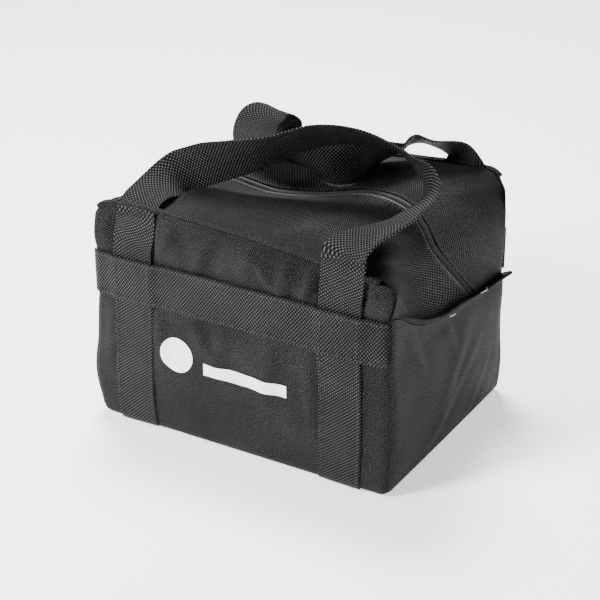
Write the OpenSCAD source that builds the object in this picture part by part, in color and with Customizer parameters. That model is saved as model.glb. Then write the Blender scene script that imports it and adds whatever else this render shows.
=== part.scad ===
// Small soft tool bag: a boxy polyester body with a zip across the top, two webbing
// handles sewn up the front and the back, and a side seam that stands out at each end.
// Millimetres. X runs along the front, the front faces -Y, Z is up. The origin is the
// middle of the bottom.

/* [Bag] */
// Width along the front
bag_w = 236; // [190:1:290]
// Depth from front to back
bag_d = 182; // [150:1:230]
// Height of the lid above the floor
top_z = 170; // [140:1:210]
// Thickness of the cloth walls
cloth_t = 2; // [1:0.1:3]
// Width of the flat top between the sloping ends
top_w = 200; // [170:1:230]
// Height lost by the front and back walls where they fold into the lid
fold_drop = 12; // [6:1:20]
// How far the fold leans in from the front and the back
fold_in = 5; // [2:0.5:8]
// Height lost at the upper corners of the front and back walls
corner_drop = 20; // [10:1:30]

/* [Side seam] */
// Height of the standing seam at the front corner, below the lid
seam_front_drop = 52; // [40:1:70]
// Height of the standing seam at the middle of the side, below the lid
seam_mid_drop = 68; // [55:1:85]
// Height of the standing seam at the rear corner, below the lid
seam_rear_drop = 72; // [60:1:85]
// Thickness of the sewn edge
seam_t = 3; // [2:0.5:5]
// How far the sewn edge stands out from the side
seam_out = 7; // [4:0.5:10]
// How far the sewn edge reaches into the bag
seam_in = 8; // [5:0.5:12]

/* [Webbing] */
// Width of the webbing
web_w = 32; // [25:1:40]
// Thickness of the webbing
web_t = 1.5; // [1:0.1:2.5]
// Distance between the two straps of one handle, centre to centre
strap_gap = 164; // [130:1:190]
// Height of the lower edge of the band round the front and the back
band_z = 100; // [70:1:110]
// How far the front handle's arch reaches past the middle of the lid
front_past = 5; // [0:1:12]
// How far short of the middle of the lid the rear handle's arch stops
rear_short = 4; // [0:1:12]

/* [Zip] */
// Length of the mouth, between the ends that stay closed
mouth_w = 156; // [130:1:170]
// Width of each zip tape
tape_w = 14; // [10:1:18]
// Thickness of each zip tape
tape_t = 1; // [0.6:0.1:1.4]
// Width of the zip that shows between the edges of the cloth
zip_show = 10; // [8:0.5:14]
// Width of each coil
coil_w = 2.3; // [1.8:0.1:2.8]
// Height of each coil
coil_h = 1.8; // [1.4:0.1:2]
// Space between the two coils
coil_gap = 1.8; // [1.4:0.1:2.2]

/* [Slider] */
// Length of the slider along the zip
slider_l = 12; // [10:0.5:15]
// Width of the slider
slider_w = 9; // [7:0.5:9.5]
// Thickness of each of the slider's two plates
plate_t = 1.2; // [0.8:0.1:1.6]
// Thickness of the post between the plates
post_t = 1.0; // [0.8:0.1:1.2]
// Thickness of the crown that carries the puller
crown_t = 2.8; // [2:0.1:3.6]
// Radius of the puller's cross bar
bar_r = 0.8; // [0.6:0.1:1]
// Length of the puller
puller_l = 28; // [20:1:36]
// Width of the puller
puller_w = 7.5; // [6.5:0.5:9]
// Thickness of the puller
puller_t = 1.4; // [1:0.1:1.6]
// Distance from the middle of the zip to the slider when the bag is closed
park_x = 88; // [70:1:92]

/* [Print] */
// Diameter of the printed disc
print_disc = 26; // [16:1:34]
// Length of the printed bar
print_bar = 66; // [30:1:70]
// Height of the printed bar
print_bar_h = 9; // [5:1:14]
// Space between the disc and the bar
print_gap = 9; // [4:1:12]
// How far the bar's middle lies below the disc's middle
print_drop = 5; // [0:1:8]
// Thickness of the print
print_t = 0.3; // [0.2:0.1:0.5]

/* [Hidden] */

cloth_colour = [0.10, 0.10, 0.11];
web_colour = [0.14, 0.14, 0.15];
zip_colour = [0.07, 0.07, 0.08];
metal_colour = [0.20, 0.20, 0.21];
white = [0.92, 0.92, 0.92];

half_w = bag_w / 2;
half_d = bag_d / 2;
in_d = half_d - cloth_t;            // inner face of the front and back walls
fold_z = top_z - fold_drop;         // where the front and back walls start to lean in
lid_edge = in_d - fold_in;          // the lid's line along the front and back walls
fit = 0.5;                          // clearance beside a part that moves
turn_fit = 1.2;                     // clearance where a lid turns on its wall
hinge_gap = 1;                      // clearance between a strap's top and its handle
seam_mid_z = top_z - seam_mid_drop;
lean = (half_w - top_w / 2) / seam_mid_drop;    // sideways lean of the upper ends
band_top = band_z + web_w;
strap_top = top_z - 3;              // the sewn straps end just below the lid
hinge_z = strap_top + hinge_gap;    // the handles turn here
hinge_y = half_d + web_t / 2;
seam_line = [[-in_d, top_z - seam_front_drop], [-in_d / 2, seam_mid_z + 4], [0, seam_mid_z],
    [in_d, top_z - seam_rear_drop]];
plate_fit = 0.4;                    // clearance between the slider and what it runs on
upper_plate_z = top_z + plate_fit;
lower_plate_z = top_z - cloth_t - tape_t - plate_fit - plate_t;
bar_fit = 0.3;                      // clearance round the puller's cross bar
bar_z = upper_plate_z + plate_t + puller_t / 2 + 1;
crown_h = bar_z + bar_r + bar_fit + 1 - upper_plate_z - plate_t;
arm_w = 1.6;                        // width of each arm of the puller
smooth = 4;                         // steps between two points of a handle
print_share = 0.2;                  // share of the free width that lies left of the print

// A handle's arch as it lies: [across, behind its own fold, above the hinge, and the
// direction of its width], measured on straps lay_gap apart with the arch lay_reach long,
// in webbing lay_web wide.
lay_gap = 164;
lay_web = 32;
front_lay_reach = 96;
front_lay = [
    [-77, 0, 0, [-1, 0, 0]], [-76, 1, 4, [-1, 0, 0]], [-75, 9, 9, [-1, -0.1, 0]],
    [-72, 24, 13, [-0.95, -0.2, 0.2]], [-64, 37, 19, [-0.85, -0.3, 0.45]],
    [-46, 43, 27, [-0.65, -0.3, 0.65]], [-24, 48, 34, [-0.3, -0.5, 0.8]],
    [-3, 57, 41, [0, -0.7, 0.7]], [20, 74, 49, [0.2, -0.65, 0.7]],
    [45, 88, 49, [0.4, -0.7, 0.6]], [70, 95, 43, [0.5, -0.8, 0.4]],
    [90, 91, 33, [0.6, -0.75, 0.3]], [101, 82, 26, [0.65, -0.68, 0.33]],
    [104, 70, 20, [0.65, -0.68, 0.32]], [101, 50, 16, [0.65, -0.7, 0.3]],
    [97, 30, 15, [0.75, -0.65, 0.2]], [89, 11, 12, [0.95, -0.3, 0.05]],
    [84, 1, 5, [1, 0, 0]], [84, 0, 0, [1, 0, 0]]];
rear_lay_reach = 87;
rear_lay = [
    [-74, 0, 0, [-1, 0, 0]], [-74, 0, 5, [-1, 0, 0]], [-71, 3, 12, [-1, 0.1, 0]],
    [-66, 9, 20, [-0.95, 0.2, 0]], [-70, 16, 24, [-0.95, 0.25, 0.1]],
    [-74, 28, 22, [-0.9, 0.15, 0.35]], [-71, 42, 17, [-0.9, -0.45, 0.15]],
    [-60, 58, 13, [-0.8, -0.6, 0.1]], [-42, 71, 13, [-0.6, -0.7, 0.4]],
    [-20, 79, 17, [-0.3, -0.75, 0.6]], [0, 86, 20, [-0.1, -0.5, 0.85]],
    [20, 85, 21, [0, -0.2, 1]], [33, 74, 21, [0.1, -0.2, 1]],
    [37, 54, 20, [0.35, -0.5, 0.8]], [45, 36, 21, [0.4, -0.8, 0.45]],
    [51, 26, 26, [0.4, -0.75, 0.5]], [62, 18, 24, [0.4, -0.8, 0.4]],
    [76, 7, 19, [0.7, -0.5, 0.5]], [82, 2, 10, [0.95, -0.3, 0.2]],
    [82, 0, 4, [1, 0, 0]], [82, 0, 0, [1, 0, 0]]];

// A solid whose outline is given in Y and Z, from x0 to x1
module along_x(points, x0, x1) {
    translate([x0, 0, 0]) rotate([90, 0, 90]) linear_extrude(x1 - x0) polygon(points);
}

// A solid whose outline is given in X and Z, from y0 to y1
module along_y(points, y0, y1) {
    translate([0, y1, 0]) rotate([90, 0, 0]) linear_extrude(y1 - y0) polygon(points);
}

module block(low, high) {
    translate(low) cube(high - low);
}

module on_left() {
    mirror([1, 0, 0]) children();
}

module on_rear() {
    mirror([0, 1, 0]) children();
}

// Place in X of the sloping end at height z, set in from its outer face by inset
function end_x(z, inset = 0) = top_w / 2 + (top_z - z) * lean - inset * sqrt(1 + lean * lean);

// A strip that follows the top and the sloping end, between two depths below the outside
function end_strip(outer, inner) = [
    [mouth_w / 2 + fit, top_z - inner], [mouth_w / 2 + fit, top_z - outer],
    [end_x(top_z - outer, outer), top_z - outer], [end_x(0, outer), 0],
    [end_x(0, inner), 0], [end_x(top_z - inner, inner), top_z - inner]];

// The space above the side seam and inside the front and back walls, in Y and Z
function above_seam() = concat([for (p = seam_line) [p[0], p[1] + seam_t]],
    [[in_d, fold_z], [lid_edge, top_z], [-lid_edge, top_z], [-in_d, fold_z]]);

module bottom_panel() {
    color(cloth_colour) block([-half_w, -half_d, 0], [half_w, half_d, cloth_t]);
}

// One wall with its fold: the front as it stands, the back mirrored
module wall() {
    section = [[-half_d, cloth_t], [-half_d, fold_z], [-half_d + fold_in, top_z],
        [-lid_edge, top_z], [-in_d, fold_z], [-in_d, cloth_t]];
    face = [[-half_w, 0], [half_w, 0], [half_w, top_z - corner_drop],
        [top_w / 2 + 4, top_z], [-top_w / 2 - 4, top_z], [-half_w, top_z - corner_drop]];
    color(cloth_colour) intersection() {
        along_x(section, -half_w, half_w);
        along_y(face, -half_d - 1, 0);
    }
}

module front_panel() {
    wall();
}

module back_panel() {
    on_rear() wall();
}

module right_side_panel() {
    outline = concat([[in_d, cloth_t], [-in_d, cloth_t]], seam_line);
    color(cloth_colour) along_x(outline, half_w - cloth_t, half_w);
}

module left_side_panel() {
    on_left() right_side_panel();
}

module right_side_seam() {
    top = [for (i = [len(seam_line) - 1:-1:0]) [seam_line[i][0], seam_line[i][1] + seam_t]];
    color(cloth_colour) along_x(concat(seam_line, top), half_w - seam_in, half_w + seam_out);
}

module left_side_seam() {
    on_left() right_side_seam();
}

// The cloth of one end above the seam, on one side of the zip
module gusset(y0, y1) {
    color(cloth_colour) intersection() {
        along_y(end_strip(0, cloth_t), y0, y1);
        along_x(above_seam(), 0, bag_w);
    }
}

module right_front_gusset() {
    gusset(-half_d, -zip_show / 2);
}

module right_rear_gusset() {
    gusset(zip_show / 2, half_d);
}

module left_front_gusset() {
    on_left() right_front_gusset();
}

module left_rear_gusset() {
    on_left() right_rear_gusset();
}

// The zip's tapes where they run down one end; they part along the flat top
module right_zip_end() {
    color(zip_colour) difference() {
        intersection() {
            along_y(end_strip(cloth_t, cloth_t + tape_t), -tape_w, tape_w);
            along_x(above_seam(), 0, bag_w);
        }
        block([0, -coil_gap / 2, 0], [end_x(top_z) - cloth_t - 2, coil_gap / 2, top_z]);
    }
}

module left_zip_end() {
    on_left() right_zip_end();
}

module coil(x0, x1) {
    color(zip_colour) block([x0, -coil_gap / 2 - coil_w, top_z - cloth_t],
        [x1, -coil_gap / 2, top_z - cloth_t + coil_h]);
}

module right_coil_end() {
    x1 = end_x(top_z) - cloth_t - 2;
    coil(mouth_w / 2 + fit, x1);
    on_rear() coil(mouth_w / 2 + fit, x1);
}

module left_coil_end() {
    on_left() right_coil_end();
}

// A strap sewn up the front, from the bottom to just below the lid
module strap(x) {
    color(web_colour) block([x - web_w / 2, -half_d - web_t, cloth_t],
        [x + web_w / 2, -half_d, strap_top]);
}

module front_left_strap() {
    strap(-strap_gap / 2);
}

module front_right_strap() {
    strap(strap_gap / 2);
}

module rear_left_strap() {
    on_rear() strap(-strap_gap / 2);
}

module rear_right_strap() {
    on_rear() strap(strap_gap / 2);
}

// The band across one wall, passing over its two straps
module band() {
    color(web_colour) difference() {
        block([-half_w, -half_d - 2 * web_t, band_z], [half_w, -half_d, band_top]);
        for (x = [-strap_gap / 2, strap_gap / 2])
            block([x - web_w / 2, -half_d - web_t, band_z - 1],
                [x + web_w / 2, -half_d + 1, band_top + 1]);
    }
}

module front_band() {
    band();
}

module rear_band() {
    on_rear() band();
}

// A plain printed disc and bar between the straps
module front_print() {
    centre_z = band_z - print_disc / 2 - 20;
    spare = strap_gap - web_w - print_disc - print_gap - print_bar;
    left = (web_w - strap_gap) / 2 + spare * print_share;
    color(white) translate([left + print_disc / 2, -half_d, centre_z]) rotate([90, 0, 0])
        cylinder(h = print_t, d = print_disc, $fn = 48);
    color(white) translate([left + print_disc + print_gap, 0, centre_z - print_drop])
        block([0, -half_d - print_t, -print_bar_h / 2], [print_bar, -half_d, print_bar_h / 2]);
}

// One lip of the lid, from its wall to the edge beside the zip
module lid() {
    color(cloth_colour) block([-mouth_w / 2, -lid_edge + turn_fit, top_z - cloth_t],
        [mouth_w / 2, -zip_show / 2, top_z]);
}

module front_lid() {
    lid();
}

module rear_lid() {
    on_rear() lid();
}

module tape() {
    low = top_z - cloth_t - tape_t;
    color(zip_colour) block([-mouth_w / 2, -tape_w, low],
        [mouth_w / 2, -coil_gap / 2, low + tape_t]);
}

module front_zip_tape() {
    tape();
}

module rear_zip_tape() {
    on_rear() tape();
}

module front_zip_coil() {
    coil(-mouth_w / 2, mouth_w / 2);
}

module rear_zip_coil() {
    on_rear() coil(-mouth_w / 2, mouth_w / 2);
}

// The slider: two plates, the post that joins them between the coils, and the crown
module zip_slider() {
    post_l = 3;
    nose = slider_l / 2 - 1;
    crown_l = slider_l * 0.6;
    color(metal_colour) translate([-park_x, 0, 0]) difference() {
        union() {
            block([-slider_l / 2, -slider_w / 2, upper_plate_z],
                [slider_l / 2, slider_w / 2, upper_plate_z + plate_t]);
            block([-slider_l / 2, -slider_w / 2, lower_plate_z],
                [slider_l / 2, slider_w / 2, lower_plate_z + plate_t]);
            block([nose - post_l, -post_t / 2, lower_plate_z],
                [nose, post_t / 2, upper_plate_z + plate_t]);
            block([-crown_l / 2, -crown_t / 2, upper_plate_z],
                [crown_l / 2, crown_t / 2, upper_plate_z + plate_t + crown_h]);
        }
        translate([0, 0, bar_z]) rotate([90, 0, 0])
            cylinder(h = slider_w, r = bar_r + bar_fit, center = true, $fn = 32);
    }
}

// The puller: a cross bar through the crown, two arms and a tab with a round end
module zip_puller() {
    arm_y = crown_t / 2 + fit;
    tab_x = slider_l * 0.3 + 3;
    color(metal_colour) translate([-park_x, 0, bar_z]) {
        rotate([90, 0, 0]) cylinder(h = 2 * arm_y + arm_w, r = bar_r, center = true, $fn = 32);
        for (side = [-1, 1])
            translate([-puller_t / 2, side * (arm_y + arm_w / 2) - arm_w / 2, -puller_t / 2])
                cube([tab_x + puller_t / 2, arm_w, puller_t]);
        difference() {
            union() {
                block([tab_x - 2, -puller_w / 2, -puller_t / 2],
                    [puller_l - puller_w / 2, puller_w / 2, puller_t / 2]);
                translate([puller_l - puller_w / 2, 0, -puller_t / 2])
                    cylinder(h = puller_t, d = puller_w, $fn = 48);
            }
            translate([puller_l - puller_w / 2, 0, -puller_t])
                cylinder(h = 2 * puller_t, d = puller_w / 2.5, $fn = 32);
        }
    }
}

function unit(v) = v / norm(v);

function curve(a, b, c, d, t) = 0.5 * (2 * b + (c - a) * t + (2 * a - 5 * b + 4 * c - d) * t * t
    + (3 * b - a - 3 * c + d) * t * t * t);

// A value at step i of a smooth curve through the list's entries
function along(list, i) = let (n = len(list) - 1, s = min(floor(i / smooth), n - 1),
    t = i / smooth - s)
    curve(list[max(s - 1, 0)], list[s], list[s + 1], list[min(s + 2, n)], t);

// The way a lay runs at step i: straight up or down where it leaves its fold
function heading(centres, i, last) = let (
    run = unit(along(centres, min(i + 1, last)) - along(centres, max(i - 1, 0))),
    upright = [0, 0, i < last / 2 ? 1 : -1],
    share = min(i, last - i, smooth) / smooth)
    unit(upright * (1 - share) + run * share);

// A flat webbing swept along a lay, with its width turned as the lay says
module webbing(centres, widths) {
    last = (len(centres) - 1) * smooth;
    rings = [for (i = [0:last]) let (
        c = along(centres, i),
        t = heading(centres, i, last),
        raw = unit(along(widths, i)),
        w = unit(raw - t * (raw * t)),
        n = cross(t, w))
        each [c + w * web_w / 2 + n * web_t / 2, c - w * web_w / 2 + n * web_t / 2,
            c - w * web_w / 2 - n * web_t / 2, c + w * web_w / 2 - n * web_t / 2]];
    sides = [for (i = [0:last - 1], j = [0:3]) let (k = (j + 1) % 4, a = 4 * i, b = 4 * i + 4)
        each [[a + j, b + k, a + k], [a + j, b + j, b + k]]];
    end = 4 * last;
    polyhedron(rings, concat(sides, [[0, 1, 2], [0, 2, 3],
        [end + 2, end + 1, end], [end + 3, end + 2, end]]), convexity = 6);
}

// A lay set on the bag: spread to its straps, reaching as far as the bag's depth asks, and
// standing higher in wider webbing
module arch(lay, lay_reach, past) {
    stretch = [strap_gap / lay_gap, (half_d + past) / lay_reach, web_w / lay_web];
    centres = [for (p = lay) [p[0] * stretch[0], p[1] * stretch[1] - hinge_y,
        p[2] * stretch[2] + hinge_z]];
    color(web_colour) webbing(centres, [for (p = lay) p[3]]);
}

module front_handle() {
    arch(front_lay, front_lay_reach, front_past);
}

module rear_handle() {
    seen_from_rear = [for (p = rear_lay) [p[0], p[1], p[2], [p[3][0], -p[3][1], p[3][2]]]];
    on_rear() arch(seen_from_rear, rear_lay_reach, -rear_short);
}

bottom_panel();
front_panel();
back_panel();
left_side_panel();
right_side_panel();
left_side_seam();
right_side_seam();
left_front_gusset();
left_rear_gusset();
right_front_gusset();
right_rear_gusset();
left_zip_end();
right_zip_end();
left_coil_end();
right_coil_end();
front_band();
rear_band();
front_left_strap();
front_right_strap();
rear_left_strap();
rear_right_strap();
front_print();
front_lid();
front_zip_tape();
front_zip_coil();
rear_lid();
rear_zip_tape();
rear_zip_coil();
zip_slider();
zip_puller();
front_handle();
rear_handle();
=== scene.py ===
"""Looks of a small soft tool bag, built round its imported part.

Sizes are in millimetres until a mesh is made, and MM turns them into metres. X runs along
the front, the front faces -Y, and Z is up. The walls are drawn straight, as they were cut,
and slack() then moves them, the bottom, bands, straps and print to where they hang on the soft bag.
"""

import math

import bmesh
import bpy
import numpy as np
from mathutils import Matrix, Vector


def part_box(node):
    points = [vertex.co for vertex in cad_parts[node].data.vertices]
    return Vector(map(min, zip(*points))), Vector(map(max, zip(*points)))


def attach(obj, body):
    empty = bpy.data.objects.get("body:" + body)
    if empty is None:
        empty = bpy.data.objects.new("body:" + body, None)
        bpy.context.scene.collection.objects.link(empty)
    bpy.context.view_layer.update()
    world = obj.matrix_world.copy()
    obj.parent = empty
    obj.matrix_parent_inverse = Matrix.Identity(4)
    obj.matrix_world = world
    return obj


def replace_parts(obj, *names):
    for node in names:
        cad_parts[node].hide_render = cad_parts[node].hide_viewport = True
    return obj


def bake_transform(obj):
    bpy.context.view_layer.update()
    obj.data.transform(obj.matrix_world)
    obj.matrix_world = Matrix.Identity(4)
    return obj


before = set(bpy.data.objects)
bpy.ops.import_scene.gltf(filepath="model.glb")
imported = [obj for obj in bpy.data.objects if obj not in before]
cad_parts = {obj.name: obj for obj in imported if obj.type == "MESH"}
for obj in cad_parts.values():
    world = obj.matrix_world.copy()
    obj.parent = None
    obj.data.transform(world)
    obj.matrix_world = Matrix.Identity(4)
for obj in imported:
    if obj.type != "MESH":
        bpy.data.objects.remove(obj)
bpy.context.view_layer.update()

MM = 0.001


def corner(node, which):
    """One corner of a node's box, in millimetres."""
    return np.array(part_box(node)[which]) / MM


# ---------------------------------------------------------------- sizes from the frame
HALF_W = corner("front_panel", 1)[0]
HALF_D = -corner("front_panel", 0)[1]
BAND_Z = corner("front_band", 0)[2]
BAND_TOP = corner("front_band", 1)[2]
WEB_W = BAND_TOP - BAND_Z
STRAP_X = (corner("front_right_strap", 0)[0] + corner("front_right_strap", 1)[0]) / 2
STRAP_TOP = corner("front_right_strap", 1)[2]
WEB_T = -corner("front_right_strap", 0)[1] - HALF_D
HINGE_Y = HALF_D + WEB_T / 2
HINGE_GAP = 1           # space between a strap's top and its handle
HINGE_Z = STRAP_TOP + HINGE_GAP

# ---------------------------------------------------------------- sizes of the finish
CLOTH_T = 1.2           # thickness of the cloth that shows
CORNER_R = 8            # roundness of the bag's edges
SEAM_DIP = 2.0          # how far a sewn edge sinks between its two panels
FOLD_DIP = 2.4          # depth of the groove behind each fold
SWELL = 0.8             # unevenness of a wall
PUCKER = 1.6            # height of the puckers between a band and its fold
STEP = 2.2              # spacing of the cloth's own points
STITCH_PITCH = 3.4
STITCH_LIFT = 0.15      # how far stitches stand off the webbing
EDGE_STITCH = 2.2       # from the edge of the webbing to its row of stitches
BAND_OFF = 1.1          # from the wall to the middle of the band
LEG_TUCK = 6            # how far a handle's leg runs down under the band
STITCH = (2.5, 0.7, 0.5)
TOOTH_PITCH = 1.25
TOOTH = (0.8, 1.5, 1.2)
PRINT_GAP = 9           # space between the printed disc and the bar
PRINT_DROP = 5          # how far the bar's middle lies below the disc's
PRINT_BAR_H = 9
ZIP_HALF = 5.4          # from the middle of the zip to the edge of the cloth
TAPE_HALF = 8.6         # from the middle of the zip to the tape's outer edge
TAPE_DEPTH = 1.1        # how far the tapes lie under the cloth
COIL_STITCH = 2.9       # from the middle of the zip to the stitches that hold a coil
COIL_STITCH_PITCH = 2.0
COIL_THREAD = (1.1, 0.8, 0.7)


# ---------------------------------------------------------------- curves and fields
def ramp(a, b, x):
    """0 before a, 1 after b, and smooth between them."""
    t = np.clip((np.asarray(x, float) - a) / (b - a), 0, 1)
    return t * t * (3 - 2 * t)


def bump(middle, half, x):
    """1 at the middle, falling smoothly to 0 at half on either side."""
    return 1 - ramp(0, half, np.abs(np.asarray(x, float) - middle))


def through(stations, t):
    """The smooth curve through a list of stations, at places t from 0 to the last one."""
    p = np.asarray(stations, float)
    t = np.asarray(t, float)
    last = len(p) - 1
    i = np.clip(np.floor(t).astype(int), 0, last - 1)
    f = (t - i).reshape(t.shape + (1,) * (p.ndim - 1))
    a, b, c, d = (p[np.clip(i + k, 0, last)] for k in (-1, 0, 1, 2))
    rise = (c - a) * f + (2 * a - 5 * b + 4 * c - d) * f**2 + (3 * b - a - 3 * c + d) * f**3
    return b + rise / 2


def height_at(stations, x):
    """The value at x of a line given by pairs, with its corners softened."""
    xs, zs = np.array(stations, float).T
    soft = [np.interp(x + shift, xs, zs) for shift in (-6, -3, 0, 3, 6)]
    return np.mean(soft, axis=0)


def unit(v):
    return v / np.maximum(np.linalg.norm(v, axis=-1, keepdims=True), 1e-9)


def ripple(a, b, seed):
    """A gentle uneven swell from -1 to 1 that is the same every time."""
    total = 0
    for k in range(1, 5):
        turn = seed * 1.7 + k * 2.1
        total = total + np.sin(a * k * math.cos(turn) + b * k * math.sin(turn) + seed * k) / k
    return total / 2


def creases(a, b, lines):
    """Soft folds: each is (a0, b0, a1, b1, width, height) on a panel's own two directions."""
    total = np.zeros_like(np.asarray(a, float))
    for a0, b0, a1, b1, width, height in lines:
        run = math.hypot(a1 - a0, b1 - b0)
        da, db = (a1 - a0) / run, (b1 - b0) / run
        along = (a - a0) * da + (b - b0) * db
        across = (b - b0) * da - (a - a0) * db
        body = np.exp(-((across / width) ** 2)) - 0.5 * np.exp(-((across / width - 1.4) ** 2))
        total += height * body * ramp(-0.15 * run, 0.3 * run, along) * ramp(
            1.15 * run, 0.7 * run, along)
    return total


def slack(p):
    """Where a point of the straight bag comes to lie on the soft one."""
    p = np.array(p, float)
    x, y, z = p[..., 0], p[..., 1], p[..., 2]
    side, depth = x / HALF_W, y / HALF_D
    low = np.sin(math.pi * np.clip(z / 96, 0, 1)) ** 0.8
    front_low = np.sin(math.pi * np.clip(z / 140, 0, 1))
    sideways = 5 * low * (1 - 0.35 * depth**2)
    sideways += 4 * bump(32, 34, z) * ramp(0.2, 1, -depth) * ramp(0.3, -1, side)
    sideways -= 3 * bump(60, 40, z) * ramp(0.6, 1, depth) * ramp(0.3, 1, side)
    sideways += 5 * bump(152, 24, z) * ramp(0.6, 1, -depth) * ramp(0.3, 1, side)
    outwards = 2.4 * front_low * (1 - side**2) + 0.6 * ripple(x / 34, z / 30, 3) * front_low
    p[..., 0] += np.sign(x) * np.abs(side) ** 3 * sideways
    p[..., 1] += np.sign(y) * np.abs(depth) ** 3 * outwards
    return p


# ---------------------------------------------------------------- meshes
def grid_normals(grid):
    """Outward directions of a grid of points whose rows go up and whose columns go right."""
    across = np.gradient(grid, axis=1)
    up = np.gradient(grid, axis=0)
    return unit(np.cross(across, up))


def make_mesh(name, points, faces, uvs, material, normals=None):
    """A shown mesh with its weave's own coordinates, from points in millimetres."""
    mesh = bpy.data.meshes.new(name)
    mesh.from_pydata((np.asarray(points) * MM).tolist(), [], faces)
    layer = mesh.uv_layers.new(name="weave")
    corners = np.zeros(len(mesh.loops), int)
    mesh.loops.foreach_get("vertex_index", corners)
    layer.data.foreach_set("uv", (np.asarray(uvs)[corners] * MM).ravel())
    mesh.polygons.foreach_set("use_smooth", np.ones(len(mesh.polygons), bool))
    mesh.materials.append(material)
    mesh.update()
    if normals is not None:
        mesh.normals_split_custom_set_from_vertices(np.asarray(normals).tolist())
    made = bpy.data.objects.new(name, mesh)
    bpy.context.scene.collection.objects.link(made)
    return made


def lengths(grid, axis):
    """Running length along one axis of a grid, averaged over the other."""
    steps = np.linalg.norm(np.diff(grid, axis=axis), axis=-1).mean(axis=1 - axis)
    return np.concatenate([[0], np.cumsum(steps)])


def cloth_piece(name, grid, material, normals=None, uv=None, thick=CLOTH_T):
    """A panel of cloth: the grid is its outer face, and its inner face lies thick behind."""
    rows, cols = grid.shape[:2]
    out = grid_normals(grid) if normals is None else normals
    if uv is None:
        u, v = np.meshgrid(lengths(grid, 1), lengths(grid, 0))
        uv = np.stack([u, v], axis=-1)
    points = np.concatenate([grid.reshape(-1, 3), (grid - out * thick).reshape(-1, 3)])
    uvs = np.concatenate([uv.reshape(-1, 2)] * 2)
    number = np.arange(rows * cols).reshape(rows, cols)
    back = number + rows * cols
    faces = []
    for i in range(rows - 1):
        for j in range(cols - 1):
            a, b, c, d = number[i, j], number[i, j + 1], number[i + 1, j + 1], number[i + 1, j]
            faces.append((a, b, c, d))
            faces.append((back[i + 1, j], back[i + 1, j + 1], back[i, j + 1], back[i, j]))
    rim = list(number[0, :]) + list(number[1:, -1]) + list(number[-1, -2::-1])
    rim += list(number[-2:0:-1, 0])
    for k, a in enumerate(rim):
        b = rim[(k + 1) % len(rim)]
        faces.append((b, a, a + rows * cols, b + rows * cols))
    both = np.concatenate([out.reshape(-1, 3), -out.reshape(-1, 3)])
    return make_mesh(name, points, faces, uvs, material, both)


def webbing_piece(name, centres, widths, cup=0.0):
    """A length of webbing along its centres, with thin woven edges and closed ends."""
    centres, widths = np.asarray(centres, float), np.asarray(widths, float)
    ahead = unit(np.gradient(centres, axis=0))
    widths = unit(widths - ahead * (widths * ahead).sum(axis=1, keepdims=True))
    out = np.cross(ahead, widths)
    across = np.array([-1, -0.985, -0.94, -0.86, -0.6, -0.3, 0, 0.3, 0.6, 0.86, 0.94, 0.985, 1])
    half = WEB_T / 2 * np.array([0.35, 0.8, 1, 0.9, 1, 1, 1, 1, 1, 0.9, 1, 0.8, 0.35])
    loop = [(a, h) for a, h in zip(across, half)] + [(a, -h) for a, h in zip(across, half)][::-1]
    run = np.concatenate([[0], np.cumsum(np.linalg.norm(np.diff(centres, axis=0), axis=1))])
    points, uvs = [], []
    for a, h in loop:
        bend = cup * (a * a - 0.33)
        points.append(centres + widths * a * WEB_W / 2 + out * (h + bend))
        uvs.append(np.stack([np.full(len(run), a * WEB_W / 2), run], axis=-1))
    rings, sides = len(centres), len(loop)
    points = np.stack(points, axis=1).reshape(-1, 3)
    uvs = np.stack(uvs, axis=1).reshape(-1, 2)
    faces = []
    for i in range(rings - 1):
        for j in range(sides):
            k = (j + 1) % sides
            faces.append((i * sides + j, i * sides + k, (i + 1) * sides + k, (i + 1) * sides + j))
    faces.append(tuple(range(sides))[::-1])
    faces.append(tuple((rings - 1) * sides + j for j in range(sides)))
    return fix_outside(make_mesh(name, points, faces, uvs, WEBBING))


def fix_outside(made):
    """Turns a closed mesh's faces to point outwards."""
    work = bmesh.new()
    work.from_mesh(made.data)
    bmesh.ops.recalc_face_normals(work, faces=work.faces)
    work.to_mesh(made.data)
    work.free()
    return made


def tube_piece(name, path, radius, material, sides):
    """A round cord of cloth or thread along a path."""
    path = np.asarray(path, float)
    ahead = unit(np.gradient(path, axis=0))
    side = unit(np.cross(ahead, np.array([0.1, 0.2, 1.0])))
    up = np.cross(side, ahead)
    turns = np.arange(sides) * 2 * math.pi / sides
    radius = np.broadcast_to(radius, len(path))
    points, uvs, faces = [], [], []
    run = np.concatenate([[0], np.cumsum(np.linalg.norm(np.diff(path, axis=0), axis=1))])
    for i, p in enumerate(path):
        for turn in turns:
            points.append(p + radius[i] * (side[i] * math.cos(turn) + up[i] * math.sin(turn)))
            uvs.append((radius[i] * turn, run[i]))
    for i in range(len(path) - 1):
        for j in range(sides):
            k = (j + 1) % sides
            faces.append((i * sides + j, i * sides + k, (i + 1) * sides + k, (i + 1) * sides + j))
    faces.append(tuple(range(sides))[::-1])
    faces.append(tuple((len(path) - 1) * sides + j for j in range(sides)))
    return fix_outside(make_mesh(name, points, faces, uvs, material))


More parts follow.
